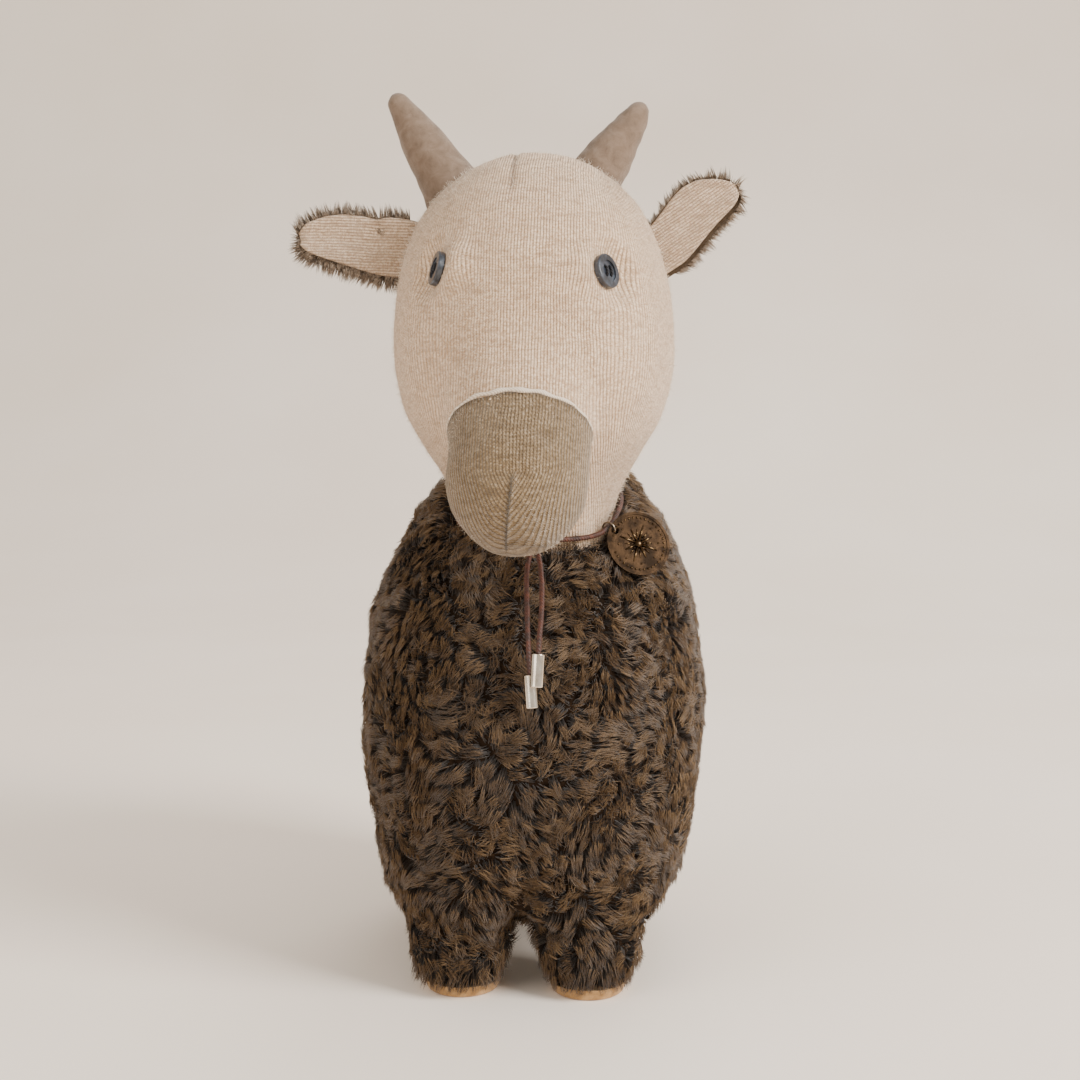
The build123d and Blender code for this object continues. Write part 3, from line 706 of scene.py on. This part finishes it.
def strand_mesh(name, roots, bends, tips, radius, tone, materials):
    """Each strand runs from its root over its bend to its tip; tone from 0 to 1 picks its colours."""
    count = len(roots)
    run = tips - roots
    run /= np.maximum(np.linalg.norm(run, axis=1, keepdims=True), 1e-9)
    sideways = np.cross(run, bends - roots)
    sideways /= np.maximum(np.linalg.norm(sideways, axis=1, keepdims=True), 1e-9)
    upward = np.cross(sideways, run)
    corners = []
    for middle, thick in ((roots, radius), (bends, radius * 0.8)):
        for a in (math.pi / 2, math.pi * 7 / 6, math.pi * 11 / 6):
            corners.append(middle + thick[:, None] * (math.cos(a) * sideways + math.sin(a) * upward))
    corners.append(tips)
    vertices = np.stack(corners, axis=1).reshape(-1, 3)
    pattern = [(0, 2, 1)]
    for a, b in ((0, 1), (1, 2), (2, 0)):
        pattern += [(a, b, 3 + b), (a, 3 + b, 3 + a), (3 + a, 3 + b, 6)]
    pattern = np.array(pattern)
    at_tip = np.array([False] + [False, False, True] * 3)
    faces = (pattern[None] + (np.arange(count) * 7)[:, None, None]).reshape(-1, 3)
    low = (tone > 0.5).astype(int)[:, None]
    high = 2 + np.clip((tone * 3).astype(int), 0, 2)[:, None]
    slots = np.where(at_tip[None], high, low).reshape(-1)
    if len(materials) == 1:
        slots = np.zeros_like(slots)
    mesh = bpy.data.meshes.new(name)
    mesh.vertices.add(len(vertices))
    mesh.vertices.foreach_set("co", vertices.astype(np.float32).ravel())
    mesh.loops.add(len(faces) * 3)
    mesh.loops.foreach_set("vertex_index", faces.astype(np.int32).ravel())
    mesh.polygons.add(len(faces))
    mesh.polygons.foreach_set("loop_start", np.arange(0, len(faces) * 3, 3, dtype=np.int32))
    for material in materials:
        mesh.materials.append(material)
    mesh.polygons.foreach_set("material_index", slots.astype(np.int32))
    mesh.update(calc_edges=True)
    mesh.shade_smooth()
    piece = bpy.data.objects.new(name, mesh)
    bpy.context.scene.collection.objects.link(piece)
    return piece


def scatter(piece, per_square_mm):
    """Random places on a mesh, spread evenly by area, with their smooth normals."""
    mesh = piece.data
    mesh.calc_loop_triangles()
    corner = np.empty(len(mesh.loop_triangles) * 3, int)
    mesh.loop_triangles.foreach_get("vertices", corner)
    corner = corner.reshape(-1, 3)
    co, out = points(piece), normals(piece)
    a, b, c = (co[corner[:, i]] for i in range(3))
    area = 0.5 * np.linalg.norm(np.cross(b - a, c - a), axis=1)
    count = int(area.sum() / MM**2 * per_square_mm)
    chosen = random.choice(len(area), count, p=area / area.sum())
    u, v = random.random(count), random.random(count)
    flip = u + v > 1
    u[flip], v[flip] = 1 - u[flip], 1 - v[flip]
    weights = np.stack([1 - u - v, u, v], axis=1)[..., None]
    places = (co[corner[chosen]] * weights).sum(1)
    outs = (out[corner[chosen]] * weights).sum(1)
    outs /= np.linalg.norm(outs, axis=1, keepdims=True)
    return places, outs


def unit(vectors):
    return vectors / np.maximum(np.linalg.norm(vectors, axis=1, keepdims=True), 1e-9)


def tufts(places, outs, spacing, per_square_mm, sway, fall):
    """Gathers strands into locks: for each strand its lock's middle, its lean and its lock's own number."""
    count = max(6, int(len(places) / (per_square_mm * spacing**2)))
    chosen = random.choice(len(places), count, replace=False)
    middles = places[chosen]
    tree = KDTree(count)
    for i, middle in enumerate(middles):
        tree.insert(Vector(middle), i)
    tree.balance()
    owner = np.array([tree.find(Vector(p))[1] for p in places])
    swirl = np.stack([lumps(middles, sway, seed) for seed in (51, 52, 53)], axis=1)
    swirl = unit(swirl) + random.normal(0, 0.45, swirl.shape) + np.array(fall)
    lean = swirl[owner] + random.normal(0, 0.16, places.shape)
    lean = unit(lean - outs * (lean * outs).sum(1, keepdims=True))
    own = random.random(count)
    return middles[owner], lean, own[owner]


def pile(places, outs, middles, lean, length, rise=0.5, reach=0.8, gather=0.5):
    """Bend and tip of each strand: it rises, lies over along its lean and draws in to its lock's tip."""
    inward = middles - places
    inward -= outs * (inward * outs).sum(1, keepdims=True)
    length = length[:, None]
    bends = places + outs * length * rise * 0.72 + lean * length * reach * 0.34 + inward * gather * 0.35
    tips = places + outs * length * rise + lean * length * reach + inward * gather
    return bends, tips


def tree_of(piece):
    mesh = piece.data
    mesh.calc_loop_triangles()
    return BVHTree.FromPolygons(
        [v.co for v in mesh.vertices], [tuple(t.vertices) for t in mesh.loop_triangles]
    )


def depth_inside(tree, place):
    """How far a place lies inside a closed mesh; negative outside."""
    hit, normal, _, distance = tree.find_nearest(Vector(place))
    return -distance if (Vector(place) - hit).dot(normal) > 0 else distance


# ---- fuzz that stands off the knit ----
def make_fuzz():
    for name, base in (("head_fuzz", head), ("muzzle_fuzz", muzzle)):
        places, outs = scatter(base, FUZZ_STRANDS)
        count = len(places)
        lean = unit(random.normal(size=places.shape))
        length = random.uniform(0.9, 2.2, count) * MM
        bends, tips = pile(places, outs, places, lean, length, rise=0.5, reach=0.6, gather=0)
        fuzz = strand_mesh(
            name, places, bends, tips, np.full(count, 0.045 * MM), np.zeros(count), [FUZZ]
        )
        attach(fuzz, "goat")


make_fuzz()


# ---- fur body ----
BODY_NODES = ["left_flank_cover", "right_flank_cover", "belly_gusset"] + [
    f"{end}_{side}_leg_cover" for end in ("front", "hind") for side in ("left", "right")
]
BACKING_DEPTH = 3.2
FLOOR_GAP = 0.004  # metres from the floor to the backing, under the legs


def make_body():
    backing = soft_copy("fur_backing", BODY_NODES + ["body_stuffing", "leg_stuffing"], 3.0, 8)
    stuff(backing, 2.0, 1.0)
    out = normals(backing)
    co = points(backing) - out * BACKING_DEPTH * MM
    uneven = 0.8 * lumps(co, 30, 31) + 0.5 * lumps(co, 12, 32) + 0.4 * lumps(co, 6, 33)
    co += out * uneven[:, None] * MM
    low = np.clip((46 - co[:, 2] / MM) / 18, 0, 1) * (co[:, 2] > 0.02)
    ends = np.clip(np.abs(out[:, 1]) * 1.5, 0, 1)
    co -= out * (8.0 * low * ends * dip(co[:, 0] / MM, 4.5))[:, None] * MM
    co[:, 2] = np.maximum(co[:, 2], FLOOR_GAP)
    move_points(backing, co)
    backing.data.materials.append(BACKING)
    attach(backing, "goat")
    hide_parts(*BODY_NODES)
    return backing


backing = make_body()
head_tree = tree_of(head)


def make_fur():
    places, outs = scatter(backing, BODY_STRANDS)
    middles, lean, own = tufts(places, outs, 3.4, BODY_STRANDS, 30, (0, 0, -0.45))
    keep = places[:, 2] > 0.0055
    inside = np.array([depth_inside(head_tree, p) for p in places])
    keep &= inside < 0.0005
    places, outs, middles, lean, own = (a[keep] for a in (places, outs, middles, lean, own))
    count = len(places)
    length = (5.4 + 1.6 * own + random.uniform(-0.6, 0.6, count)) * MM
    low = np.clip((0.020 - places[:, 2]) / 0.012, 0, 1)[:, None]
    lean = unit(lean * (1 - 0.75 * low) + low * np.array([0, 0, -1.0]))
    outs = unit(outs + low * (outs - np.array([0, 0, 0.5])))
    bends, tips = pile(places, outs, middles, lean, length + 0.0012 * low[:, 0])
    tips[:, 2] = np.maximum(tips[:, 2], 0.0018 + 0.0012 * random.random(count))
    radius = random.uniform(0.13, 0.20, count) * MM * BODY_THICKER
    tone = np.clip(0.5 * own + 0.5 * random.random(count), 0, 0.999)
    order = np.argsort(places[:, 0] + 0.3 * places[:, 1])
    for number, group in enumerate(np.array_split(order, math.ceil(count / MAX_STRANDS))):
        fur = strand_mesh(
            f"fur_{number}", places[group], bends[group], tips[group], radius[group], tone[group], FUR
        )
        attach(fur, "goat")


make_fur()


# ---- ears ----
# The top and the bottom edge of each ear from inside the head to the tip, as distances along and across it.
EARS = {
    "right": dict(
        at=(-43.8, -30.5, 252.4),
        rise=5,
        sign=-1,
        top=[
            *((-9, 8.6), (-3, 9.6), (4, 9.8), (8, 8.6), (13, 9.5)),
            *((19, 9.6), (26, 8.1), (32, 5.2), (34.4, 1.4)),
        ],
        bottom=[
            *((-9, -9.6), (-3, -10.2), (4, -10.0), (8, -9.4), (13, -8.4)),
            *((19, -7.0), (26, -5.4), (31, -4.0), (33.6, -1.4)),
        ],
        bow=1.6,
    ),
    "left": dict(
        at=(46.4, -30.5, 252.9),
        rise=37,
        sign=1,
        top=[
            *((-8, 6.8), (0, 7.6), (5, 8.8), (10, 10.4), (15.5, 11.4)),
            *((21, 10.2), (26, 6.8), (29.4, 2.8), (30.4, 0.2)),
        ],
        bottom=[
            *((-11, -8.0), (-5, -8.6), (2, -9.0), (7.6, -7.8), (13, -6.4)),
            *((18.5, -5.2), (23, -4.6), (27, -3.8), (29.8, -1.6)),
        ],
        bow=1.2,
    ),
}


def ear_axes(ear):
    rise = math.radians(ear["rise"])
    along = np.array([ear["sign"] * math.cos(rise), 0, math.sin(rise)])
    up = np.array([-ear["sign"] * math.sin(rise), 0, math.cos(rise)])
    return along, up, np.array([0, -1.0, 0])


def smooth_line(corners, steps):
    """Even steps along a soft curve through the corners."""
    corners = np.array(corners, float)
    run = np.concatenate([[0], np.cumsum(np.linalg.norm(np.diff(corners, axis=0), axis=1))])
    fine = np.linspace(0, run[-1], 200)
    line = np.stack([np.interp(fine, run, corners[:, i]) for i in range(2)], axis=1)
    kernel = np.hanning(31) / np.hanning(31).sum()
    padded = np.concatenate([np.repeat(line[:1], 15, 0), line, np.repeat(line[-1:], 15, 0)])
    line = np.stack([np.convolve(padded[:, i], kernel, "valid") for i in range(2)], axis=1)
    return line[np.linspace(0, 199, steps).astype(int)]


def ear_sheet(side, margin, near, far, steps=46, across=26):
    """A closed leaf between two depths, in front of the ear's middle surface; returns local places too."""
    ear = EARS[side]
    along, up, front = ear_axes(ear)
    top = smooth_line(ear["top"], steps)
    bottom = smooth_line(ear["bottom"], steps)
    centre = (top + bottom) / 2
    rows = []
    for layer in (near, far):
        for i in range(steps):
            spread = (top[i] - bottom[i]) / 2
            half = np.linalg.norm(spread)
            for j in range(across):
                t = -math.cos(math.pi * j / (across - 1))
                plane = centre[i] + spread * t * (1 + margin / max(half, 2))
                edge = math.sqrt(max(0.0, 1 - t * t))
                ending = min(1.0, (steps - 1 - i) / 4)
                thick = layer * edge**0.5 * ending**0.5
                bow = ear["bow"] * (t * t - 0.5) + 0.02 * (plane[0] - 15)
                rows.append((plane[0], plane[1], thick + bow, t, i / (steps - 1)))
    local = np.array(rows)
    co = np.array(ear["at"]) + local[:, :1] * along + local[:, 1:2] * up + local[:, 2:3] * front
    return co, local, steps, across


def leaf_faces(steps, across):
    faces, layer = [], steps * across
    for i in range(steps - 1):
        for j in range(across - 1):
            a, d = i * across + j, (i + 1) * across + j
            b, c = a + 1, d + 1
            faces.append((a, b, c, d))
            faces.append((layer + d, layer + c, layer + b, layer + a))
    rim = [i * across for i in range(steps)]
    rim += [(steps - 1) * across + j for j in range(1, across)]
    rim += [i * across + across - 1 for i in range(steps - 2, -1, -1)]
    rim += list(range(across - 2, 0, -1))
    for a, b in zip(rim, rim[1:] + rim[:1]):
        faces.append((a, layer + a, layer + b, b))
    return faces


def make_ear(side):
    ear = EARS[side]
    along, up, front = ear_axes(ear)
    co, local, steps, across = ear_sheet(side, 0.0, 2.1, 0.1)
    knit = new_piece(f"{side}_ear_jersey", co * MM, leaf_faces(steps, across), EAR)
    pinch = 1.5 * dip(np.linalg.norm(local[:, :2] - np.array([6.5, 5.0]), axis=1), 3.6)
    fold = 0.5 * dip(local[:, 1] - 0.12 * local[:, 0] + 1.2, 1.5)
    depth = -(pinch if side == "right" else 0.4 * pinch) - fold + 0.25 * lumps(points(knit), 11, 41)
    move_points(knit, points(knit) + np.outer(depth * MM, front))
    set_knit_map(knit, local[:, 1] + 0.05 * local[:, 0], local[:, 0])
    # Painted shade: the colour darkens along the ear's rim.
    set_float(knit, "seam", np.clip(0.35 * dip(1 - np.abs(local[:, 3]), 0.04), 0, 1))
    co, local, steps, across = ear_sheet(side, 0.6, -0.1, -2.6)
    back = new_piece(f"{side}_ear_back", (co - 0.7 * up) * MM, leaf_faces(steps, across), EAR_BACKING)
    places, outs = scatter(back, EAR_STRANDS)
    reached = places / MM - np.array(ear["at"])
    x, y = reached @ along, reached @ up
    rim = np.clip(np.abs(y + 0.5) / 5, 0, 1)
    behind = x > -3.5
    places, outs, y, rim = places[behind], outs[behind], y[behind], rim[behind]
    middles, lean, own = tufts(places, outs, 2.4, EAR_STRANDS, 14, (0, 0, 0))
    edge = along * 0.55 + np.sign(y)[:, None] * up * rim[:, None] * 1.6
    lean = unit(edge + 0.55 * lean)
    count = len(places)
    length = random.uniform(3.4, 5.2, count) * MM
    bends, tips = pile(places, outs, middles, lean, length, rise=0.3, reach=0.8, gather=0.45)
    fur = strand_mesh(
        f"{side}_ear_pile",
        places,
        bends,
        tips,
        random.uniform(0.12, 0.19, count) * MM * TRIM_THICKER,
        np.clip(0.4 * own + 0.6 * random.random(count), 0, 0.999),
        EAR_FUR,
    )
    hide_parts(f"{side}_ear_knit")
    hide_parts(f"{side}_ear_fur")
    for piece in (knit, back, fur):
        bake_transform(piece)


for side in EARS:
    make_ear(side)


# ---- tail ----
def make_tail():
    core = soft_copy("tail_backing", ["tail"], 1.5, 6)
    move_points(core, points(core) - normals(core) * 1.2 * MM)
    core.data.materials.append(BACKING)
    places, outs = scatter(core, TAIL_STRANDS)
    middles, lean, own = tufts(places, outs, 3.0, TAIL_STRANDS, 16, (0, 0, -1.6))
    count = len(places)
    length = random.uniform(4.6, 7.0, count) * MM
    bends, tips = pile(places, outs, middles, lean, length)
    fur = strand_mesh(
        "tail_pile",
        places,
        bends,
        tips,
        random.uniform(0.13, 0.20, count) * MM * TRIM_THICKER,
        np.clip(0.5 * own + 0.5 * random.random(count), 0, 0.999),
        FUR,
    )
    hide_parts("tail")
    for piece in (core, fur):
        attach(piece, "tail_flap")


make_tail()


# ---- knot ----
def make_knot():
    steps = 120
    turn = np.linspace(0, 2 * math.pi, steps, endpoint=False)
    size = 0.86
    line = np.stack(
        [
            size * (np.sin(turn) + 1.7 * np.sin(2 * turn)),
            0.9 * np.sin(3 * turn),
            size * (np.cos(turn) - 1.7 * np.cos(2 * turn)) * 0.85,
        ],
        axis=1,
    ) + np.array(KNOT_AT)
    knot, spline = curve_piece("cord_knot_loops", "POLY", line, CORD_RADIUS * MM, [1.0] * steps)
    spline.use_cyclic_u = True
    knot.data.materials.append(CORD)
    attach(knot, "goat")
    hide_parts("cord_knot")


make_knot()


# ---- medal relief: a ring of beads and a plain eight-pointed rosette ----
def make_relief():
    middle, normal = disc_axis(nodes["medal"])
    right = np.cross(np.array([0, 0, 1.0]), normal)
    right = -right / np.linalg.norm(right) if right[0] < 0 else right / np.linalg.norm(right)
    up = np.cross(normal, right) * (1 if np.cross(normal, right)[2] > 0 else -1)
    face = middle * MM + normal * 0.25 * MM
    sunk = -0.05  # the relief's feet lie just inside the disc
    vertices, faces = [], []

    def dome(x, y, radius, height):
        base = len(vertices)
        sides, levels = 8, (0.0, 0.6, 0.9)
        for level in levels:
            for i in range(sides):
                a = 2 * math.pi * i / sides
                r = radius * math.sqrt(1 - level**2)
                spot = (x + r * math.cos(a)) * right + (y + r * math.sin(a)) * up
                vertices.append(face + (spot + normal * (height * level + sunk)) * MM)
        vertices.append(face + (x * right + y * up + normal * height) * MM)
        vertices.append(face + (x * right + y * up + normal * sunk) * MM)
        for i in range(sides):
            j = (i + 1) % sides
            faces.append((base + j, base + i, base + 3 * sides + 1))
            for level in range(2):
                a, b = base + level * sides, base + (level + 1) * sides
                faces.append((a + i, a + j, b + j, b + i))
            faces.append((base + 2 * sides + i, base + 2 * sides + j, base + 3 * sides))

    def ridge(x0, y0, x1, y1, half, height):
        base = len(vertices)
        run = np.array([x1 - x0, y1 - y0])
        side = np.array([-run[1], run[0]]) / np.linalg.norm(run) * half
        for (x, y), rise in (
            ((x0 + side[0], y0 + side[1]), sunk),
            ((x0 - side[0], y0 - side[1]), sunk),
            ((x1 - side[0] * 0.3, y1 - side[1] * 0.3), sunk),
            ((x1 + side[0] * 0.3, y1 + side[1] * 0.3), sunk),
            ((x0, y0), height),
            ((x1, y1), height * 0.5),
        ):
            vertices.append(face + (x * right + y * up + normal * rise) * MM)
        for quad in ((0, 3, 2, 1), (0, 4, 5, 3), (1, 2, 5, 4), (0, 1, 4), (2, 3, 5)):
            faces.append(tuple(base + i for i in quad))

    def spot_at(angle, distance):
        return distance * math.cos(angle), distance * math.sin(angle)

    beads, petals = 38, 8
    for i in range(beads):
        a = 2 * math.pi * i / beads
        if math.cos(a) > -0.95:
            dome(*spot_at(a, 9.2), 0.42, 0.32)
    for i in range(petals):
        a = 2 * math.pi * (i + 0.5) / petals
        ridge(*spot_at(a, 1.1), *spot_at(a, 6.8 if i % 2 else 5.4), 0.7, 0.5)
        b = a + math.pi / petals
        ridge(*spot_at(b, 2.6), *spot_at(b, 5.0), 0.4, 0.4)
        dome(*spot_at(b, 7.2), 0.35, 0.3)
    dome(0, 0, 1.5, 0.6)
    relief = new_piece("medal_relief", vertices, faces, RELIEF)
    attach(relief, "medal_disc")


make_relief()


# ---- finishes of the CAD nodes that stay in view ----
def finish_node(name, material):
    mesh = nodes[name].data
    mesh.materials.clear()
    mesh.materials.append(material)


for side in ("left", "right"):
    finish_node(f"{side}_eye_button", BUTTON)
    finish_node(f"{side}_eye_thread", THREAD)
    for end in ("front", "hind"):
        finish_node(f"{end}_{side}_hoof_sole", HOOF)
for name in ("back_cord_tip", "front_cord_tip"):
    finish_node(name, TIP)
for name, material in (("jump_ring", RING), ("medal", MEDAL), ("neck_cord", CORD)):
    finish_node(name, material)
for name in ("body_stuffing", "leg_stuffing", "left_horn_stuffing", "right_horn_stuffing"):
    finish_node(name, BACKING)  # hidden inside, as the ballast is
for name in ("ballast_pouch", "ballast_pellets"):
    finish_node(name, BACKING)
for cord in hanging_cords:
    cord.data.materials.append(CORD)


# ---- floor, world and lights, in metres ----
def make_stage():
    """A pale sheet of paper: flat under the goat, then bending up behind it into a wall."""
    half, rise, bend, flat = 6.0, 4.0, 1.2, 0.9
    line = [(-half, 0.0)]
    for a in np.linspace(0, math.pi / 2, 16):
        line.append((flat + bend * math.sin(a), bend - bend * math.cos(a)))
    line.append((flat + bend, rise))
    vertices = [(x, y, z) for x in (-half, half) for y, z in line]
    count = len(line)
    faces = [(i, i + 1, count + i + 1, count + i) for i in range(count - 1)]
    floor = new_piece("floor", vertices, faces)
    s = Shader("paper", roughness=0.9)
    shades = [(0.3, rgb(244, 231, 217)), (0.7, rgb(249, 238, 226))]
    s.colour(s.ramp(s.noise(s.place(), 300, 3), shades))
    floor.data.materials.append(s.material)


def make_light(name, place, target, size, power, colour):
    data = bpy.data.lights.new(name, "AREA")
    data.size = size
    data.energy = power
    data.color = colour
    light = bpy.data.objects.new(name, data)
    light.location = place
    light.rotation_euler = (Vector(target) - Vector(place)).to_track_quat("-Z", "Y").to_euler()
    bpy.context.scene.collection.objects.link(light)


make_stage()
make_light("key", (1.5, -0.8, 1.0), (0, 0, 0.17), 0.8, 63, (1.0, 0.97, 0.93))
make_light("fill", (-1.1, -1.2, 0.8), (0, 0, 0.15), 1.2, 12, (1.0, 0.93, 0.85))
make_light("back", (0.3, 1.2, 1.4), (0, 0, 0.2), 0.8, 9, (0.97, 0.98, 1.0))

world = bpy.data.worlds.new("room")
world.use_nodes = True
world.node_tree.nodes["Background"].inputs[0].default_value = (*rgb(236, 230, 222), 1)
world.node_tree.nodes["Background"].inputs[1].default_value = 1.02
bpy.context.scene.world = world
